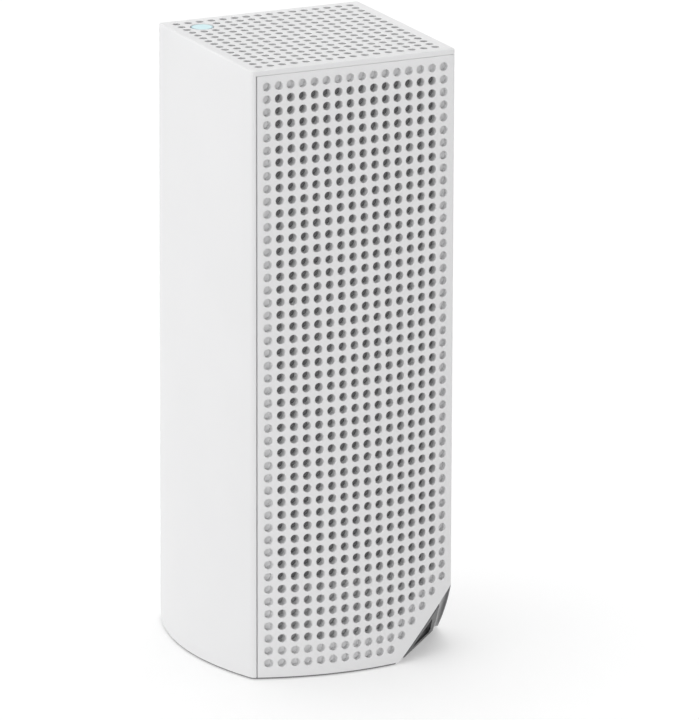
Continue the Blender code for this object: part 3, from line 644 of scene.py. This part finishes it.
def circuit_board(name, bare, track):
    """Solder mask over tracks, which show as slightly raised paler lines."""
    finish = Finish(name)
    bricks = finish.add("ShaderNodeTexBrick", Vector=finish.place, Scale=260.0)
    bricks.inputs["Color1"].default_value = (0, 0, 0, 1)
    bricks.inputs["Color2"].default_value = (0.25, 0.25, 0.25, 1)
    bricks.inputs["Mortar"].default_value = (1, 1, 1, 1)
    bricks.inputs["Mortar Size"].default_value = 0.06
    tracks = bricks.outputs["Color"]
    finish.colour(tracks, bare, track)
    finish.gloss(finish.noise(300), 0.25, 0.4)
    finish.relief(tracks, 0.00003, 0.3)
    return finish.mat


def window_plastic(name, middle, edge):
    """The light's cover, which looks deeper in tone towards its edge."""
    finish = Finish(name)
    from_axis = finish.add("ShaderNodeVectorMath", Vector=finish.place)
    from_axis.operation = "SUBTRACT"
    from_axis.inputs[1].default_value = (WINDOW_AT.x, WINDOW_AT.y, 0)
    flat = finish.add("ShaderNodeVectorMath", Vector=from_axis.outputs[0])
    flat.operation = "MULTIPLY"
    flat.inputs[1].default_value = (1, 1, 0)
    length = finish.add("ShaderNodeVectorMath", Vector=flat.outputs[0])
    length.operation = "LENGTH"
    start, full = 0.82 * WINDOW_RADIUS, 0.97 * WINDOW_RADIUS
    finish.colour(length.outputs["Value"], middle, edge, start, full)
    finish.gloss(finish.noise(200), 0.22, 0.34)
    finish.relief(finish.noise(2500), 0.00001, 0.1)
    return finish.mat


def tray_plastic_painted_shade(name, inside, edge):
    """Grey plastic that is darker where the corner cut goes through it: painted shade, standing in for the
    shade inside the cut corner.
    """
    finish = Finish(name)
    foot = CORNER_HALF - NOTCH_HEIGHT
    corner = Vector((CORNER_HALF, -CORNER_HALF, NOTCH_HEIGHT))
    normal = (Vector((foot, -reach(foot, 0), 0)) - corner).cross(Vector((reach(foot, 0), -foot, 0)) - corner)
    normal.normalize()
    if normal.z > 0:
        normal = -normal
    past = finish.add("ShaderNodeVectorMath", Vector=finish.place)
    past.operation = "DOT_PRODUCT"
    past.inputs[1].default_value = normal
    cut = corner.dot(normal)
    start, full = (cut - depth for depth in TRAY_PAINTED_SHADE_DEPTHS)
    # Painted shade: the tray turns to the dark edge colour near the cut
    finish.colour(past.outputs["Value"], inside, edge, start, full)
    broad = finish.noise(60, 4)
    finish.gloss(broad, 0.45, 0.6)
    finish.relief(finish.noise(4000), 0.00002, 0.3)
    return finish.mat


def fine_mesh(name, colour):
    """Woven mesh, as light and dark squares a third of a millimetre across."""
    finish = Finish(name)
    weave = finish.add("ShaderNodeTexChecker", Vector=finish.place, Scale=3000.0)
    finish.colour(weave.outputs["Fac"], toned(colour, -0.25), toned(colour, 0.25))
    finish.gloss(finish.noise(2000), 0.6, 0.8)
    finish.relief(weave.outputs["Fac"], 0.00003, 0.4)
    return finish.mat


def paper(name, colour):
    finish = Finish(name)
    fibres = finish.noise(900, 6, (1, 1, 0.3))
    finish.colour(fibres, toned(colour, -0.06), toned(colour, 0.04), 0.3, 0.7)
    finish.gloss(fibres, 0.55, 0.75)
    finish.relief(fibres, 0.00002, 0.3)
    return finish.mat


def light_table():
    """Matt white floor that glows faintly, so that shadows on it stay pale."""
    finish = Finish("pale floor")
    cloud = finish.noise(3)
    finish.colour(cloud, (FLOOR_WHITE,) * 3, (FLOOR_WHITE * 1.01,) * 3)
    finish.gloss(cloud, 0.85, 0.95)
    finish.shader.inputs["Specular IOR Level"].default_value = 0.1
    finish.shader.inputs["Emission Color"].default_value = (1, 1, 1, 1)
    from_axis = finish.add("ShaderNodeVectorMath", Vector=finish.place)
    from_axis.operation = "LENGTH"
    glow = finish.add("ShaderNodeMapRange", Value=from_axis.outputs["Value"])
    glow.inputs["From Min"].default_value = GLOW_FROM
    glow.inputs["From Max"].default_value = GLOW_FULL
    glow.inputs["To Max"].default_value = FLOOR_GLOW
    finish.links.new(glow.outputs["Result"], finish.shader.inputs["Emission Strength"])
    return finish.mat


def assign(obj, mat):
    obj.data.materials.clear()
    obj.data.materials.append(mat)


# ---------------------------------------------------------------- stage, lights and camera


def make_stage():
    bpy.ops.mesh.primitive_plane_add(size=12)
    floor = bpy.context.object
    floor.name = "floor"
    floor.visible_diffuse = False  # it shows, but throws no diffuse light on the tower
    assign(floor, light_table())


def make_sky():
    """A dome, brightest low down and on the -X side. Its dim lower half stands in for the floor's light."""
    world = bpy.data.worlds.new("studio")
    world.use_nodes = True
    nodes, links = world.node_tree.nodes, world.node_tree.links
    place = nodes.new("ShaderNodeTexCoord")
    split = nodes.new("ShaderNodeSeparateXYZ")
    links.new(place.outputs["Generated"], split.inputs["Vector"])

    def math_node(operation, *values):
        node = nodes.new("ShaderNodeMath")
        node.operation = operation
        for socket, value in zip(node.inputs, values):
            if isinstance(value, (int, float)):
                socket.default_value = value
            else:
                links.new(value, socket)
        return node.outputs[0]

    low = math_node("SUBTRACT", 1.0, math_node("MAXIMUM", split.outputs["Z"], 0.0))
    above = math_node("MULTIPLY", math_node("POWER", low, SKY_FALL), SKY_STRENGTH)
    tilted = math_node("MULTIPLY", above, math_node("MULTIPLY_ADD", split.outputs["X"], -SKY_TILT, 1.0))
    below = nodes.new("ShaderNodeMapRange")
    below.interpolation_type = "SMOOTHSTEP"
    below.inputs["From Min"].default_value = SKY_DIM_TO
    below.inputs["From Max"].default_value = SKY_DIM_FROM
    below.inputs["To Min"].default_value = SKY_BELOW
    links.new(split.outputs["Z"], below.inputs["Value"])
    background = nodes["Background"]
    background.inputs["Color"].default_value = (1, 1, 1, 1)
    links.new(math_node("MULTIPLY", tilted, below.outputs["Result"]), background.inputs["Strength"])
    bpy.context.scene.world = world
    bpy.context.scene.view_settings.view_transform = "Standard"


def add_sun(name, direction, power, spread):
    """A sun that shines from this direction, and looks this many degrees wide."""
    light = bpy.data.lights.new(name, "SUN")
    light.energy = power
    light.angle = math.radians(spread)
    obj = bpy.data.objects.new(name, light)
    obj.location = Vector((0, 0, HEIGHT / 2)) + Vector(direction)
    obj.rotation_euler = Vector(direction).to_track_quat("Z", "Y").to_euler()
    bpy.context.scene.collection.objects.link(obj)


def make_camera():
    azimuth, elevation, roll = math.radians(-25.55), math.radians(16.25), math.radians(0.13)
    distance, lens = 2.124, 356.3
    aim = Vector((0, 0, HEIGHT / 2))
    # The object's middle lies left of and above the view's, by this much for each metre of distance
    aside = Vector((-0.006222, 0.003104))
    back = Vector(
        (
            math.sin(azimuth) * math.cos(elevation),
            -math.cos(azimuth) * math.cos(elevation),
            math.sin(elevation),
        )
    )
    right = Vector((math.cos(azimuth), math.sin(azimuth), 0))
    up = back.cross(right)
    right, up = right * math.cos(roll) + up * math.sin(roll), up * math.cos(roll) - right * math.sin(roll)
    data = bpy.data.cameras.new("camera")
    data.sensor_width = 36
    data.lens = lens
    data.clip_end = 20
    camera = bpy.data.objects.new("camera", data)
    view = -back - right * aside.x - up * aside.y
    view.normalize()
    side = view.cross(up).normalized()
    top = side.cross(view)
    camera.matrix_world = Matrix(
        (
            (side.x, top.x, -view.x, 0),
            (side.y, top.y, -view.y, 0),
            (side.z, top.z, -view.z, 0),
            (0, 0, 0, 1),
        )
    )
    camera.location = aim + back * distance
    bpy.context.scene.collection.objects.link(camera)
    bpy.context.scene.camera = camera


# ---------------------------------------------------------------- making it all

MASK, TRACK = (0.006, 0.05, 0.022), (0.012, 0.09, 0.04)  # a circuit board, bare and over copper
STEEL = (0.55, 0.55, 0.54)
WHITE = plastic("white casing", (0.74, 0.74, 0.745), 0.42, 0.008)
# Dark grey used only for the painted-shade trim and rim
SHADE_GREY = plastic("grey for painted shade", (0.14, 0.14, 0.143), 0.5, 0.05, 0.3)
BLACK = plastic("black plastic", (0.022, 0.022, 0.023), 0.38, 0.1, 0.2)
FINISHES = {
    # The second colour is painted shade, darkest where the cut corner goes through the tray
    "base_tray": tray_plastic_painted_shade("tray plastic, painted shade at cut", (0.42, 0.42, 0.425), (0.10, 0.10, 0.102)),
    "rubber_foot": rubber("foot rubber", (0.05, 0.05, 0.05)),
    "inner_frame": plastic("frame plastic", (0.26, 0.26, 0.265), 0.55, 0.08, 0.3),
    "reset_button": plastic("button plastic", (0.45, 0.03, 0.02), 0.35, 0.05, 0.1),
    "power_rocker": BLACK,
    "power_switch_body": BLACK,
    "reset_tact_switch": BLACK,
    "ethernet_jack": BLACK,
    "dc_power_jack": BLACK,
    "board_connector": BLACK,
    "memory_chip": plastic("chip resin", (0.03, 0.03, 0.032), 0.5, 0.15, 0.4),
    "status_window": window_plastic("window plastic", (0.53, 0.77, 0.81), (0.32, 0.50, 0.56)),
    "light_guide": plastic("light guide", (0.62, 0.85, 0.88), 0.2, 0.02, 0.05),
    "status_led": plastic("lamp resin", (0.75, 0.85, 0.8), 0.25, 0.03, 0.05),
    "io_board": circuit_board("lower board", MASK, TRACK),
    "main_board": circuit_board("main board", MASK, TRACK),
    "led_board": circuit_board("lamp board", MASK, TRACK),
    "heatsink": brushed("anodised aluminium", (0.03, 0.03, 0.032), 0.45, (8, 8, 0.5), 0.6),
    "heatsink_screw": brushed("zinc plate", STEEL, 0.35),
    "base_screw": brushed("zinc plate", STEEL, 0.35),
    "shield": brushed("tinned steel", STEEL, 0.3, (1, 1, 12)),
    "thermal_pad": rubber("thermal pad", (0.25, 0.30, 0.36)),
    "antenna": brushed("antenna strip", (0.30, 0.30, 0.31), 0.4, (1, 1, 6)),
    "antenna_lead": plastic("lead sleeve", (0.03, 0.03, 0.03), 0.45, 0.1, 0.1),
    "led_cable": plastic("wire sleeve", (0.45, 0.45, 0.45), 0.5, 0.05, 0.1),
    "blank_label": paper("label paper", (0.62, 0.62, 0.6)),
}


def finish_of(name):
    """The finish with the longest name that this node's name starts with."""
    return FINISHES[max((key for key in FINISHES if name.startswith(key)), key=len)]


for name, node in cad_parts.items():
    if name not in ("main_shell", "vent_panel"):
        assign(node, finish_of(name))

for piece, replaced in ((make_panel(), "vent_panel"), (make_shell(), "main_shell")):
    assign(piece, WHITE)
    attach(piece, "tower")
    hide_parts(replaced)

SHADE_TRIM_END = NOTCH_SKIN + SHADE_TRIM_WIDTH
# Dark pieces of painted shade: trim and seal on the cut faces, and a rim in the gap under the walls.
for piece, finish, slot in (
    (make_shade_lining("notch_shade_trim", NOTCH_SKIN, SHADE_TRIM_END), SHADE_GREY, "base_grey"),
    (make_shade_lining("notch_shade_seal", SHADE_TRIM_END, WALL), FINISHES["rubber_foot"], "foot_rubber"),
    (make_shadow_gap_rim(), SHADE_GREY, "base_grey"),
    (make_vent_mesh(), fine_mesh("vent mesh", (0.19, 0.19, 0.193)), "dark_frame"),
):
    assign(piece, finish)
    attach(piece, "tower")

make_stage()
make_sky()
add_sun("overhead", (0.05, 0.2, 2), 2.0, 60)
make_camera()
